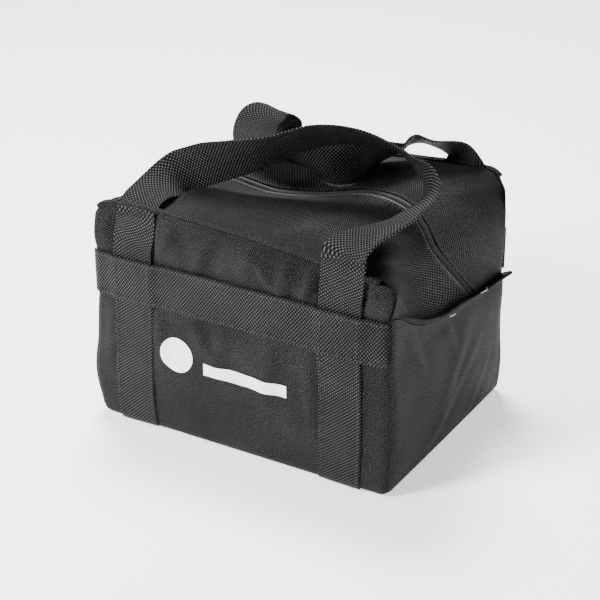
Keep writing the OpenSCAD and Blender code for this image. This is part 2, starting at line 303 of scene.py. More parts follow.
# ---------------------------------------------------------------- shader maths
class Value:
    """A shader socket; an expression on it adds the Math nodes that work it out."""

    def __init__(self, shader, socket):
        self.shader = shader
        self.socket = socket

    def math(self, operation, *values):
        made = self.shader.node("ShaderNodeMath", {"operation": operation}, dict(enumerate(values)))
        return Value(self.shader, made.outputs[0])

    def __add__(self, other):
        return self.math("ADD", self, other)

    def __radd__(self, other):
        return self.math("ADD", other, self)

    def __sub__(self, other):
        return self.math("SUBTRACT", self, other)

    def __rsub__(self, other):
        return self.math("SUBTRACT", other, self)

    def __mul__(self, other):
        return self.math("MULTIPLY", self, other)

    def __rmul__(self, other):
        return self.math("MULTIPLY", other, self)

    def __truediv__(self, other):
        return self.math("DIVIDE", self, other)

    def wave(self):
        """Cosine of the value in turns."""
        return self.math("COSINE", self * (2 * math.pi))

    def clamp(self):
        return self.math("MAXIMUM", self.math("MINIMUM", self, 1.0), 0.0)


class Shader:
    """A material and the one way that its nodes are made."""

    def __init__(self, name):
        self.material = bpy.data.materials.new(name)
        self.material.use_nodes = True
        self.tree = self.material.node_tree
        self.tree.nodes.clear()

    def node(self, kind, settings, sockets):
        made = self.tree.nodes.new(kind)
        for key, value in settings.items():
            setattr(made, key, value)
        for key, value in sockets.items():
            value = value.socket if isinstance(value, Value) else value
            if isinstance(value, bpy.types.NodeSocket):
                self.tree.links.new(value, made.inputs[key])
            else:
                made.inputs[key].default_value = value
        return made

    def weave_place(self):
        """Place on the cloth, across and along, in metres."""
        uv = self.node("ShaderNodeUVMap", {"uv_map": "weave"}, {})
        parts = self.node("ShaderNodeSeparateXYZ", {}, {0: uv.outputs[0]})
        return uv.outputs[0], Value(self, parts.outputs[0]), Value(self, parts.outputs[1])

    def noise(self, where, scale, detail=3.0):
        made = self.node("ShaderNodeTexNoise", {}, {
            "Vector": where, "Scale": scale, "Detail": detail})
        return Value(self, made.outputs["Factor" if "Factor" in made.outputs else "Fac"])

    def place(self):
        return self.node("ShaderNodeTexCoord", {}, {}).outputs["Object"]

    def mix(self, share, a, b):
        made = self.node("ShaderNodeMix", {"data_type": "RGBA"}, {0: share, 6: a, 7: b})
        return made.outputs[2]

    def bump(self, height, strength, distance):
        made = self.node("ShaderNodeBump", {}, {
            "Height": height, "Strength": strength, "Distance": distance})
        return made.outputs[0]

    def finish(self, **sockets):
        """The surface: sockets are the shader's own, with _ for a space in their names."""
        named = {key.replace("_", " "): value for key, value in sockets.items()}
        made = self.node("ShaderNodeBsdfPrincipled", {}, named)
        self.node("ShaderNodeOutputMaterial", {}, {"Surface": made.outputs[0]})
        return self.material


def grey(value, blue=1.0, green=1.0):
    return (value, value * green, value * blue, 1.0)


def cloth_material():
    """Black oxford polyester: plain square weave, faint sheen, dust and rubbed places, and a painted
    highlight on the weave's crossings with painted shade between them.
    """
    s = Shader("oxford_cloth")
    uv, u, v = s.weave_place()
    pitch = 0.0018
    wander = s.noise(uv, 70.0, 2.0) * 0.5
    across, along = u / pitch + wander, v / pitch + wander
    over = across.wave() * along.wave()
    threads = s.noise(uv, 700.0, 2.0)
    height = over * 0.5 + threads * 0.6
    wear = s.noise(s.place(), 22.0, 4.0)
    # Painted highlight and shade: the weave's crossings (over) lighten the base colour and the hollows
    # between them darken it; threads and wear are the cloth's own uneven tone.
    tone = (over * 1.1 - 0.20 + (threads - 0.5) * 1.6 + (wear - 0.5) * 0.8).clamp()
    colour = s.mix(tone, grey(0.0005, 1.03, 0.97), grey(0.100, 1.03, 0.97))
    return s.finish(
        Base_Color=colour, Roughness=(0.62 - over * 0.14 + (wear - 0.5) * 0.2),
        Specular_IOR_Level=0.10, Normal=s.bump(height, 1.0, 0.0009))


def webbing_material():
    """Black polypropylene webbing: rows of coarse raised yarns with a painted highlight on them and
    painted shade between them, and plain woven edges.
    """
    s = Shader("webbing_weave")
    uv, u, v = s.weave_place()
    wander = s.noise(uv, 60.0, 2.0) * 0.4
    across, along = u / 0.0030 + wander * 0.5, v / 0.0024 + wander
    raised = across.wave() * along.wave() * 0.5 + 0.5
    threads = s.noise(uv, 900.0, 2.0)
    height = raised * 0.9 + threads * 0.3
    dust = s.noise(s.place(), 30.0, 4.0)
    # Painted highlight and shade: the raised yarns lighten the base colour and the hollows between them
    # are painted nearly black; threads and dust are the webbing's own uneven tone.
    tone = (raised * 2.2 - 1.20 + (threads - 0.5) * 1.0 + (dust - 0.5) * 0.6).clamp()
    colour = s.mix(tone, grey(0.0003, 1.0), grey(0.085, 0.97, 0.99))
    return s.finish(
        Base_Color=colour, Roughness=(0.66 - raised * 0.22 + (dust - 0.5) * 0.15),
        Specular_IOR_Level=0.10, Normal=s.bump(height, 1.0, 0.0011))


def tape_material():
    """Fine herringbone tape at both sides of the zip."""
    s = Shader("zip_tape_weave")
    uv, u, v = s.weave_place()
    ribs = (u / 0.0007).wave()
    slant = (u / 0.0014 + v / 0.0014).wave()
    fuzz = s.noise(uv, 1300.0, 2.0)
    tone = (0.35 + ribs * 0.15 + slant * 0.15 + (fuzz - 0.5) * 0.5).clamp()
    return s.finish(
        Base_Color=s.mix(tone, grey(0.001), grey(0.012)), Roughness=(0.75 - ribs * 0.05),
        Sheen_Weight=0.08, Normal=s.bump(ribs * 0.5 + slant * 0.5, 0.4, 0.0003))


def coil_material():
    """Dyed nylon monofilament of the coils."""
    s = Shader("nylon_coil")
    smudge = s.noise(s.place(), 400.0, 3.0)
    tone = (smudge * 0.8).clamp()
    return s.finish(
        Base_Color=s.mix(tone, grey(0.004), grey(0.03)), Roughness=(0.34 + smudge * 0.2),
        Specular_IOR_Level=0.4, Normal=s.bump(smudge, 0.1, 0.0001))


def thread_material():
    """Twisted black sewing thread."""
    s = Shader("black_thread")
    fuzz = s.noise(s.place(), 2500.0, 2.0)
    tone = (fuzz * 0.9).clamp()
    return s.finish(
        Base_Color=s.mix(tone, grey(0.002), grey(0.016)), Roughness=(0.5 + fuzz * 0.15),
        Normal=s.bump(fuzz, 0.3, 0.0002))


def pale_thread_material():
    """Grey thread that holds the coils to their tapes."""
    s = Shader("grey_thread")
    fuzz = s.noise(s.place(), 2500.0, 2.0)
    return s.finish(
        Base_Color=s.mix(fuzz.clamp(), grey(0.10), grey(0.32)), Roughness=(0.5 + fuzz * 0.15),
        Normal=s.bump(fuzz, 0.3, 0.0002))


def white_thread_material():
    """Loose ends of white overlock thread."""
    s = Shader("white_thread")
    fuzz = s.noise(s.place(), 2500.0, 2.0)
    return s.finish(
        Base_Color=s.mix(fuzz.clamp(), grey(0.55), grey(0.85)), Roughness=(0.6 + fuzz * 0.1),
        Normal=s.bump(fuzz, 0.3, 0.0002))


def metal_material():
    """Black lacquered die-cast metal, rubbed bright at a few spots."""
    s = Shader("black_lacquer")
    worn = s.noise(s.place(), 700.0, 4.0)
    rub = ((worn - 0.62) * 6.0).clamp()
    grain = s.noise(s.place(), 2600.0, 2.0)
    return s.finish(
        Base_Color=s.mix(rub, grey(0.016), grey(0.22)), Roughness=(0.34 + grain * 0.2),
        Metallic=(rub * 0.8), Coat_Weight=(0.35 - rub * 0.35),
        Normal=s.bump(grain, 0.15, 0.0001))


def print_material():
    """White screen print: the weave shows through, with small pinholes."""
    s = Shader("white_print")
    uv, u, v = s.weave_place()
    over = (u / 0.00125).wave() * (v / 0.00125).wave()
    grain = s.noise(uv, 1500.0, 3.0)
    tone = (0.88 + over * 0.1 + (grain - 0.5) * 0.5).clamp()
    return s.finish(
        Base_Color=s.mix(tone, grey(0.50), grey(0.93)), Roughness=(0.55 + grain * 0.1),
        Normal=s.bump(over, 0.35, 0.0003))


CLOTH = cloth_material()
WEBBING = webbing_material()
TAPE = tape_material()
COIL = coil_material()
THREAD = thread_material()
PALE = pale_thread_material()
WHITE_THREAD = white_thread_material()
METAL = metal_material()
PRINT = print_material()


# ---------------------------------------------------------------- things that repeat
def bead_tree():
    """Geometry nodes that set one small rounded bead on each point of a line."""
    tree = bpy.data.node_groups.new("beads_on_line", "GeometryNodeTree")
    face = tree.interface
    face.new_socket("Geometry", in_out="INPUT", socket_type="NodeSocketGeometry")
    for name in ("Length", "Width", "Height"):
        face.new_socket(name, in_out="INPUT", socket_type="NodeSocketFloat")
    face.new_socket("Material", in_out="INPUT", socket_type="NodeSocketMaterial")
    face.new_socket("Geometry", in_out="OUTPUT", socket_type="NodeSocketGeometry")
    nodes, link = tree.nodes, tree.links.new
    given = nodes.new("NodeGroupInput")
    bead = nodes.new("GeometryNodeMeshUVSphere")
    bead.inputs["Segments"].default_value = 8
    bead.inputs["Rings"].default_value = 4
    bead.inputs["Radius"].default_value = 0.5
    size = nodes.new("ShaderNodeCombineXYZ")
    for k, name in enumerate(("Length", "Width", "Height")):
        link(given.outputs[name], size.inputs[k])
    turns = []
    for name, axis in (("along", "X"), ("up", "Z")):
        read = nodes.new("GeometryNodeInputNamedAttribute")
        read.data_type = "FLOAT_VECTOR"
        read.inputs["Name"].default_value = name
        turn = nodes.new("FunctionNodeAlignRotationToVector")
        turn.axis = axis
        turn.pivot_axis = "AUTO" if axis == "X" else "X"
        link(read.outputs[0], turn.inputs["Vector"])
        if turns:
            link(turns[-1].outputs[0], turn.inputs["Rotation"])
        turns.append(turn)
    placed = nodes.new("GeometryNodeInstanceOnPoints")
    link(given.outputs["Geometry"], placed.inputs["Points"])
    link(bead.outputs["Mesh"], placed.inputs["Instance"])
    link(turns[-1].outputs[0], placed.inputs["Rotation"])
    link(size.outputs[0], placed.inputs["Scale"])
    real = nodes.new("GeometryNodeRealizeInstances")
    link(placed.outputs[0], real.inputs[0])
    smooth = nodes.new("GeometryNodeSetShadeSmooth")
    link(real.outputs[0], smooth.inputs[0])
    painted = nodes.new("GeometryNodeSetMaterial")
    link(smooth.outputs[0], painted.inputs["Geometry"])
    link(given.outputs["Material"], painted.inputs["Material"])
    result = nodes.new("NodeGroupOutput")
    link(painted.outputs[0], result.inputs[0])
    return tree


BEADS = bead_tree()


def beads(name, points, along, up, size, material):
    """One mesh of beads: each lies along its line, and up is away from the cloth."""
    mesh = bpy.data.meshes.new(name)
    mesh.from_pydata((np.asarray(points) * MM).tolist(), [], [])
    for key, values in (("along", along), ("up", up)):
        held = mesh.attributes.new(key, "FLOAT_VECTOR", "POINT")
        held.data.foreach_set("vector", unit(np.asarray(values)).ravel())
    line = bpy.data.objects.new(name + "_line", mesh)
    bpy.context.scene.collection.objects.link(line)
    modifier = line.modifiers.new("beads", "NODES")
    modifier.node_group = BEADS
    given = dict(zip(("Length", "Width", "Height"), (s * MM for s in size)), Material=material)
    for item in BEADS.interface.items_tree:
        if item.in_out == "INPUT" and item.name in given:
            modifier[item.identifier] = given[item.name]
    bpy.context.view_layer.update()
    shaped = line.evaluated_get(bpy.context.evaluated_depsgraph_get())
    made = bpy.data.objects.new(name, bpy.data.meshes.new_from_object(shaped))
    bpy.data.objects.remove(line)
    bpy.context.scene.collection.objects.link(made)
    return made


def spaced(path, up, pitch):
    """Evenly spaced points on a path, with its direction and up at each."""
    path, up = np.asarray(path, float), np.asarray(up, float)
    run = np.concatenate([[0], np.cumsum(np.linalg.norm(np.diff(path, axis=0), axis=1))])
    at = np.arange(pitch / 2, run[-1], pitch)
    points = np.stack([np.interp(at, run, path[:, k]) for k in range(3)], axis=-1)
    ups = np.stack([np.interp(at, run, up[:, k]) for k in range(3)], axis=-1)
    return points, np.gradient(points, axis=0), ups


def stitch_rows(name, rows):
    """All the stitches of one sewn piece of the bag: rows is a list of (path, up)."""
    parts = [spaced(path, up, STITCH_PITCH) for path, up in rows]
    points, along, ups = (np.concatenate([p[k] for p in parts]) for k in range(3))
    made = beads(name, points, along, ups, STITCH, THREAD)
    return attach(made, "bag")


# ---------------------------------------------------------------- the walls
# Height of the front wall's fold, along X
FRONT_FOLD = [(-120, 150), (-113, 161), (-104, 168), (-82, 171), (-57, 170), (14, 166),
    (70, 160), (84, 158), (111, 157.5), (120, 153)]
# Height of the back wall's fold, along X
BACK_FOLD = [(-120, 140), (-113, 150), (-102, 160), (-82, 164), (-15, 167), (20, 168),
    (52, 170), (84, 172.5), (108, 171.5), (120, 150)]
# Height of the standing side seams, along Y
RIGHT_SEAM = [(-90, 133), (-81, 132), (-62, 119), (-42, 110), (-17, 103), (21, 100), (46, 96),
    (90, 97)]
LEFT_SEAM = [(-90, 131), (-81, 129), (-62, 117), (-42, 109), (-17, 103), (21, 100), (46, 98),
    (90, 98)]
# Soft folds of each wall, in its own width and height
FRONT_CREASES = [(-11, 166, -34, 132, 5, 2.6), (46, 159, 34, 130, 5, 2.8),
    (-44, 164, -60, 140, 4, 2.0), (18, 160, 6, 138, 5, 2.2), (62, 154, 52, 134, 4, 2.2),
    (30, 136, 22, 152, 4, 1.8), (-26, 138, -18, 154, 4, 1.6), (54, 136, 62, 150, 3.5, 1.6),
    (104, 154, 100, 134, 5, 2.2), (-62, 98, -58, 50, 5, 1.6), (-8, 99, -16, 58, 7, 1.8),
    (30, 98, 22, 40, 7, 1.9), (58, 97, 62, 30, 5, 1.8), (-34, 96, -20, 70, 6, 1.4),
    (-100, 98, -104, 40, 6, 1.8)]
BACK_CREASES = [(20, 160, 42, 134, 5, 1.4), (-40, 158, -22, 134, 5, 1.4),
    (-70, 96, -60, 44, 6, 1.2), (10, 98, 2, 40, 7, 1.2), (60, 98, 54, 50, 6, 1.2)]
RIGHT_CREASES = [(46, 72, -40, 14, 6, 0.8), (22, 86, -22, 34, 8, 0.9), (64, 56, 20, 6, 6, 0.6),
    (-66, 112, -44, 76, 6, 1.2), (-10, 98, 2, 74, 5, 0.8), (78, 88, 70, 30, 8, 0.9)]
LEFT_CREASES = [(-50, 74, 30, 20, 5, 1.4), (40, 88, 10, 52, 5, 1.2), (-70, 110, -52, 60, 6, 1.3),
    (64, 60, 20, 14, 5, 1.2)]


def round_edge(p, half):
    """A place along a wall and how far its rounded edge turns in there."""
    over = np.clip(np.abs(p) - (half - CORNER_R), 0, None)
    turn = np.clip(over / CORNER_R, 0, math.pi / 4)
    place = np.sign(p) * (np.minimum(np.abs(p), half - CORNER_R) + CORNER_R * np.sin(turn))
    dip = SEAM_DIP * ramp(CORNER_R * math.pi / 4 - 2.8, CORNER_R * math.pi / 4, over)
    return place, CORNER_R * (1 - np.cos(turn)) + dip


def wall_grid(half, top, lines, puff_from, puff, seed):
    """Place along, height and set-in of a wall from its bottom seam to its upper edge."""
    reach = half - CORNER_R + CORNER_R * math.pi / 4
    cols = int(2 * reach / STEP) + 1
    rows = int(150 / STEP) + 1
    p = np.linspace(-reach, reach, cols)
    share = np.linspace(0, 1, rows)
    place, edge_in = round_edge(p, half)
    low = CORNER_R * (1 - math.pi / 4)
    high = height_at(top, place)
    q = low + (high[None, :] - low) * share[:, None]
    z_turn = np.clip((CORNER_R - q) / CORNER_R, 0, math.pi / 4)
    z = np.where(q < CORNER_R, CORNER_R * (1 - np.sin(z_turn)), q)
    low_in = CORNER_R * (1 - np.cos(z_turn)) + SEAM_DIP * ramp(low + 2.2, low, q)
    place = np.broadcast_to(place, z.shape)
    inner = edge_in[None, :] + low_in
    away = (1 - ramp(half - 14, half, np.abs(place))) * ramp(2, 16, z)
    inner = inner - creases(place, z, lines) * away
    inner = inner - SWELL * ripple(place / 17, z / 15, seed) * away
    if puff:
        part = np.clip((z - puff_from) / np.maximum(high[None, :] - puff_from, 1), 0, 1)
        free = 1 - ramp(half - 6, half, np.abs(place))
        full = puff * free - (puff + 2) * under_straps(place)
        full = full + PUCKER * free * (1 - under_straps(place)) * ripple(place / 7, z / 40, seed + 2)
        inner = inner - full * np.sin(math.pi * part)
    return place, z, inner


def under_straps(x):
    """1 where a strap presses the wall, and 0 clear of the straps."""
    return sum(1 - ramp(WEB_W / 2 - 1, WEB_W / 2 + 7, np.abs(x - c)) for c in (-STRAP_X, STRAP_X))


def walls():
    """The four walls."""
    x, z, inner = wall_grid(HALF_W, FRONT_FOLD, FRONT_CREASES, BAND_TOP, 3.2, 1)
    grid = slack(np.stack([x, -(HALF_D - inner), z], axis=-1))
    front = cloth_piece("front_wall", grid, CLOTH)
    x, z, inner = wall_grid(HALF_W, BACK_FOLD, BACK_CREASES, BAND_TOP, 2.6, 5)
    grid = slack(np.stack([x, HALF_D - inner, z], axis=-1))[:, ::-1]
    back = cloth_piece("back_wall", grid, CLOTH)
    y, z, inner = wall_grid(HALF_D, RIGHT_SEAM, RIGHT_CREASES, 0, 0, 7)
    grid = slack(np.stack([HALF_W - inner, y, z], axis=-1))
    right = cloth_piece("right_wall", grid, CLOTH)
    y, z, inner = wall_grid(HALF_D, LEFT_SEAM, LEFT_CREASES, 0, 0, 9)
    grid = slack(np.stack([-(HALF_W - inner), y, z], axis=-1))[:, ::-1]
    left = cloth_piece("left_wall", grid, CLOTH)
    for made, node in ((front, "front_panel"), (back, "back_panel"), (right, "right_side_panel"),
            (left, "left_side_panel")):
        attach(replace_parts(made, node), "bag")


def bottom():
    """The bottom panel, whose edges turn up to meet the walls' seams."""
    reach_x = HALF_W - CORNER_R + CORNER_R * math.pi / 4
    reach_y = HALF_D - CORNER_R + CORNER_R * math.pi / 4
    px = np.linspace(-reach_x, reach_x, int(2 * reach_x / STEP))
    py = np.linspace(reach_y, -reach_y, int(2 * reach_y / STEP))
    x, up_x = round_edge(px, HALF_W)
    y, up_y = round_edge(py, HALF_D)
    gx, gy = np.meshgrid(x, y)
    gz = up_x[None, :] + up_y[:, None]
    middle = (1 - np.abs(gx / HALF_W) ** 4) * (1 - np.abs(gy / HALF_D) ** 4)
    gz = gz + middle * (0.5 + 0.4 * ripple(gx / 25, gy / 25, 2))
    made = cloth_piece("bottom_cloth", slack(np.stack([gx, gy, gz], axis=-1)), CLOTH)
    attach(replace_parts(made, "bottom_panel"), "bag")


# ---------------------------------------------------------------- the cloth over the top
# Stations of the cloth that covers the top and the ends. Each row runs from the left seam,
# up the left end, over the top and down the right end; the rows go from the front fold to
# the back fold, and the zip lies along the fourth row.
TOP_ROWS = [
    [(-115.5, -88.5, 128), (-115.5, -89, 146), (-113, -90.5, 160), (-103, -91, 168.5),
     (-82, -91, 171), (-50, -91, 170), (-15, -91, 168), (20, -91, 165.5), (55, -91, 161.5),
     (82, -91, 158), (109, -91, 157.5), (120.5, -89.5, 151), (116.5, -88.5, 132)],
    [(-118, -70, 119), (-116, -71, 142), (-111, -72, 159), (-101, -73, 170),
     (-82, -74, 174), (-50, -74, 174), (-15, -74, 173), (20, -74, 171), (55, -74, 168),
     (82, -74, 164), (104, -74, 160), (115, -72, 144), (117, -70, 121)],
    [(-118, -44, 108), (-112, -44, 134), (-105, -45, 156), (-97, -45, 168),
     (-82, -46, 174), (-50, -48, 176), (-15, -50, 176), (20, -46, 176), (55, -42, 174),
     (80, -43, 170), (97, -45, 160), (107, -45, 136), (117, -43, 108)],
    [(-118, 12, 98), (-111, 4, 122), (-102, 0, 148), (-94, -1, 164),
     (-80, -2, 170.5), (-48, -10, 171), (-15, -16, 170.5), (14, -7, 170.5), (45, 14, 171),
     (73, 10, 170), (91, 2, 162), (106, 0, 142), (117, 42, 95)],
    [(-118, 48, 98), (-113, 47, 124), (-107, 46, 148), (-98, 46, 163),
     (-80, 46, 171), (-48, 42, 175), (-15, 38, 176), (18, 42, 176), (50, 50, 176),
     (79, 48, 174), (97, 46, 165), (110, 46, 138), (117, 60, 95)],
    [(-118, 72, 98), (-115, 72, 124), (-110, 72, 146), (-101, 73, 161),
     (-80, 74, 168), (-48, 74, 171), (-15, 74, 172), (20, 74, 173), (52, 75, 175),
     (82, 75, 176.5), (102, 75, 171), (114, 76, 142), (117, 77, 96)],
    [(-115.5, 88.5, 98), (-115.5, 88.5, 126), (-113, 90.5, 147), (-102, 91, 159.5),
     (-82, 91, 164), (-50, 91, 166), (-15, 91, 167), (20, 91, 168), (52, 91, 170),
     (84, 91, 172.5), (106, 91, 172), (115.5, 89, 148), (115.5, 88.5, 97)]]
ZIP_ROW = 3.0
MIDDLE = 6.5            # the place along the rows where the left and right halves meet
HINGE_ROW = 0.5         # the place between the fold and the part of the lid that moves
LAST_ROW = 6.0
ACROSS_STEPS = 110
# Soft folds of the top cloth, in its stations' own two directions
TOP_CREASES = [(9.4, 0.6, 11.2, 2.6, 0.16, -1.6), (10.2, 0.2, 11.8, 1.4, 0.14, 1.4),
    (8.6, 1.4, 10.2, 2.8, 0.15, 1.0), (3.2, 0.6, 1.2, 2.4, 0.16, -1.4),
    (7.2, 0.6, 8.4, 2.6, 0.20, 0.9), (4.6, 0.8, 5.4, 2.6, 0.20, 0.8),
    (9.8, 3.6, 11.2, 5.6, 0.20, -1.2), (6.2, 3.4, 7.4, 5.4, 0.22, 0.9),
    (3.4, 3.6, 1.6, 5.2, 0.18, 1.2), (8.8, 3.3, 9.8, 5.0, 0.18, 0.8)]


def top_point(s, t):
    """A point of the top cloth, at place s along its rows and t from front to back."""
    s, t = np.broadcast_arrays(np.asarray(s, float), np.asarray(t, float))
    shape = s.shape
    s, t = s.ravel(), t.ravel()
    by_row = through(np.array(TOP_ROWS, float).transpose(1, 0, 2), s)
    last = by_row.shape[1] - 1
    i = np.clip(np.floor(t).astype(int), 0, last - 1)
    f = (t - i)[:, None]
    n = np.arange(len(s))
    a, b, c, d = (by_row[n, np.clip(i + k, 0, last)] for k in (-1, 0, 1, 2))
    rise = (c - a) * f + (2 * a - 5 * b + 4 * c - d) * f**2 + (3 * b - a - 3 * c + d) * f**3
    p = b + rise / 2
    calm = ramp(0, 0.35, t) * ramp(LAST_ROW, LAST_ROW - 0.35, t)
    calm = calm * (0.35 + 0.65 * ramp(0.1, 0.6, np.abs(t - ZIP_ROW)))
    lift = creases(s, t, TOP_CREASES) + 0.8 * ripple(s * 1.9, t * 1.7, 4)
    p[:, 2] += lift * calm * bump(6, 6.5, s)
    groove = bump(0.18, 0.16, t) + bump(LAST_ROW - 0.18, 0.16, t)
    p[:, 2] -= FOLD_DIP * groove * bump(6, 5, s) ** 0.3
    p[:, 0] += lift * calm * np.sign(s - 6) * (1 - bump(6, 6.5, s)) * ramp(0, 0.5, 6 - np.abs(
        s - 6))
    return p.reshape(shape + (3,))


def top_frame(s, t):
    """Point, outward direction and direction across the rows, at one place or several."""
    e = 0.01
    p = top_point(s, t)
    along = top_point(s + e, t) - top_point(s - e, t)
    back = top_point(s, t + e) - top_point(s, t - e)
    return p, unit(np.cross(along, back)), back / (2 * e)


def rows_between(s, t0, t1, count):
    """Grid of s and t between two lines given for each s."""
    share = np.linspace(0, 1, count)[:, None]
    return np.broadcast_to(s, (count, len(s))), t0[None, :] * (1 - share) + t1[None, :] * share


def top_panel(name, s0, s1, t0, t1, count):
    """One panel of the top cloth; t0 and t1 are functions of s."""
    s = np.linspace(s0, s1, max(int(abs(s1 - s0) / 12 * ACROSS_STEPS), 8))
    gs, gt = rows_between(s, t0(s), t1(s), count)
    p, out, _ = top_frame(gs, gt)
    uv = np.stack([gs * 27.0, gt * 30.0], axis=-1)
    made = cloth_piece(name, p, CLOTH, normals=out, uv=uv)
    return made


def zip_side(sign, distance):
    """The place across the rows that is a distance from the middle of the zip."""
    def place(s):
        _, _, back = top_frame(s, np.full_like(s, ZIP_ROW))
        return ZIP_ROW + sign * distance / np.linalg.norm(back, axis=-1)
    return place


def flat_row(value):
    return lambda s: np.full_like(s, value)


def to_lip(made):
    """Bakes a piece of the lid's lip into its mesh where it stands; it is not bent."""
    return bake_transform(made)


HALVES = [("left", 0.0, MIDDLE, -1), ("right", MIDDLE, 12.0, 1)]


def top_cloth():
    """The cloth over the top and the ends: two fixed borders and four halves."""
    front = top_panel("front_border", 0, 12, flat_row(0.0), flat_row(HINGE_ROW), 16)
    rear = top_panel("rear_border", 0, 12, flat_row(LAST_ROW - HINGE_ROW), flat_row(LAST_ROW), 16)
    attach(front, "bag")
    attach(rear, "bag")
    for side, s0, s1, s_side in HALVES:
        gap = zip_side(-1, ZIP_HALF)
        made = top_panel(f"front_top_{side}", s0, s1, flat_row(HINGE_ROW), gap, 46)
        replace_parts(made, f"{side}_front_gusset")
        if side == "left":
            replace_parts(made, "front_lid")
        to_lip(made)
        gap = zip_side(1, ZIP_HALF)
        made = top_panel(f"rear_top_{side}", s0, s1, gap, flat_row(LAST_ROW - HINGE_ROW), 46)
        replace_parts(made, f"{side}_rear_gusset")
        if side == "left":
            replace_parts(made, "rear_lid")
        to_lip(made)


def zip_line(s, distance, depth):
    """A line beside the middle of the zip, under the cloth by depth, with its up."""
    _, _, back = top_frame(s, np.full_like(s, ZIP_ROW))
    t = ZIP_ROW + distance / np.linalg.norm(back, axis=-1)
    p, out, _ = top_frame(s, t)
    return p - out * depth, out


def zip_parts():
    """Tapes, coils and the rows of stitches that hold them, one set for each half."""
    for side, s0, s1, s_side in HALVES:
        s = np.linspace(s0 + (0.15 if s_side < 0 else 0), s1 - (0.15 if s_side > 0 else 0), 90)
        for sign, lip in ((-1, "front"), (1, "rear")):
            lines = [zip_line(s, sign * d, TAPE_DEPTH) for d in (TAPE_HALF, 5.5, 3.5, 2, 0.9)]
            lines = lines if sign < 0 else lines[::-1]
            grid = np.stack([line[0] for line in lines])
            out = np.stack([line[1] for line in lines])
            tape = cloth_piece(f"{lip}_tape_{side}", grid, TAPE, normals=out, thick=0.6)
            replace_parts(tape, f"{side}_zip_end", f"{lip}_zip_tape")
            to_lip(tape)
            path, up = zip_line(s, sign * 0.85, TAPE_DEPTH - 0.5)
            points, along, ups = spaced(path, up, TOOTH_PITCH)
            coil = beads(f"{lip}_coil_{side}", points, along, ups, TOOTH, COIL)
            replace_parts(coil, f"{side}_coil_end", f"{lip}_zip_coil")
            to_lip(coil)
            path, up = zip_line(s, sign * (ZIP_HALF + 1.6), -0.1)
            points, along, ups = spaced(path, up, STITCH_PITCH)
            sewn = beads(f"{lip}_zip_stitches_{side}", points, along, ups, STITCH, THREAD)
            to_lip(sewn)
            path, up = zip_line(s, sign * COIL_STITCH, TAPE_DEPTH - 0.3)
            points, along, ups = spaced(path, up, COIL_STITCH_PITCH)
            sewn = beads(f"{lip}_coil_stitches_{side}", points, along, ups, COIL_THREAD,
                PALE if sign < 0 else THREAD)
            to_lip(sewn)


# ---------------------------------------------------------------- seams
def side_hem(name, node, sign, seam):
    """The sewn edge that stands out where a side meets the cloth above it."""
    y = np.linspace(-HALF_D + 3, HALF_D - 1, 90)
    z = height_at(seam, y)
    lean = np.radians(np.interp(y, [-90, -70, -40, 10, 60, 90], [80, 66, 52, 46, 34, 22]))
    tall = np.interp(y, [-90, -60, 0, 50, 80, 90], [3.0, 6.5, 7.5, 7.5, 8.0, 7.5])
    tall = tall + 0.5 * ripple(y / 12, y * 0, 6)
    x = HALF_W - 3.2 + 0.8 * ripple(y / 15, y * 0, 2)
    section = [(0.0, -1.1), (0.5, -1.3), (0.9, -1.2), (1.0, -0.4), (1.0, 0.4), (0.9, 1.1),
        (0.5, 1.2), (0.0, 0.9)]
    rows = []
    for share, off in section:
        rise = share * tall + 1.0
        px = x + np.cos(lean) * rise + np.sin(lean) * off
        pz = z - 2.0 + np.sin(lean) * rise - np.cos(lean) * off
        rows.append(np.stack([sign * px, y, pz], axis=-1))
    rings = np.stack(rows, axis=1)
    count, sides = rings.shape[:2]
    run = lengths(rings, 0)
    uvs = np.stack([np.broadcast_to(np.arange(sides) * 2.5, (count, sides)),
        np.broadcast_to(run[:, None], (count, sides))], axis=-1)
    faces = [(i * sides + j, i * sides + (j + 1) % sides, (i + 1) * sides + (j + 1) % sides,
        (i + 1) * sides + j) for i in range(count - 1) for j in range(sides)]
    faces.append(tuple(range(sides))[::-1])
    faces.append(tuple((count - 1) * sides + j for j in range(sides)))
    made = fix_outside(make_mesh(name, rings.reshape(-1, 3), faces, uvs.reshape(-1, 2), CLOTH))
    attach(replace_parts(made, node), "bag")
    outer = np.stack([sign * (x + np.cos(lean) * (tall * 0.55 + 1) + np.sin(lean) * 1.7), y,
        z - 2.0 + np.sin(lean) * (tall * 0.55 + 1) - np.cos(lean) * 1.7], axis=-1)
    up = np.stack([sign * np.sin(lean), y * 0, -np.cos(lean)], axis=-1)
    stitch_rows(name + "_stitches", [(outer, up)])


def fold_ridge(name, fold, sign):
    """The sewn fold that stands up a little between a wall and the lid."""
    x = np.linspace(-HALF_W + 9, HALF_W - 9, 120)
    z = height_at(fold, x) + 1.7
    y = sign * (HALF_D + 0.2 + 0.4 * ripple(x / 14, x * 0, 5))
    made = tube_piece(name, np.stack([x, y, z], axis=-1), 2.1, CLOTH, sides=12)
    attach(made, "bag")


def loose_threads():
    """Two short white ends of thread left at the right side seam."""
    near = np.linspace(0, 4, 14)
    for name, stations in (
            ("white_thread_front", [(123, -14, 106), (124.3, -12.5, 106.5), (124, -11, 105.8),
                (124.8, -9.5, 106.6), (124, -8, 106)]),
            ("white_thread_rear", [(121, 40, 101), (123, 41.5, 102.5), (122.5, 43, 101.7),
                (123.6, 44.5, 102.4), (122.6, 46, 103.5)])):
        made = tube_piece(name, through(stations, near), 0.25, WHITE_THREAD, sides=6)
        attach(made, "bag")


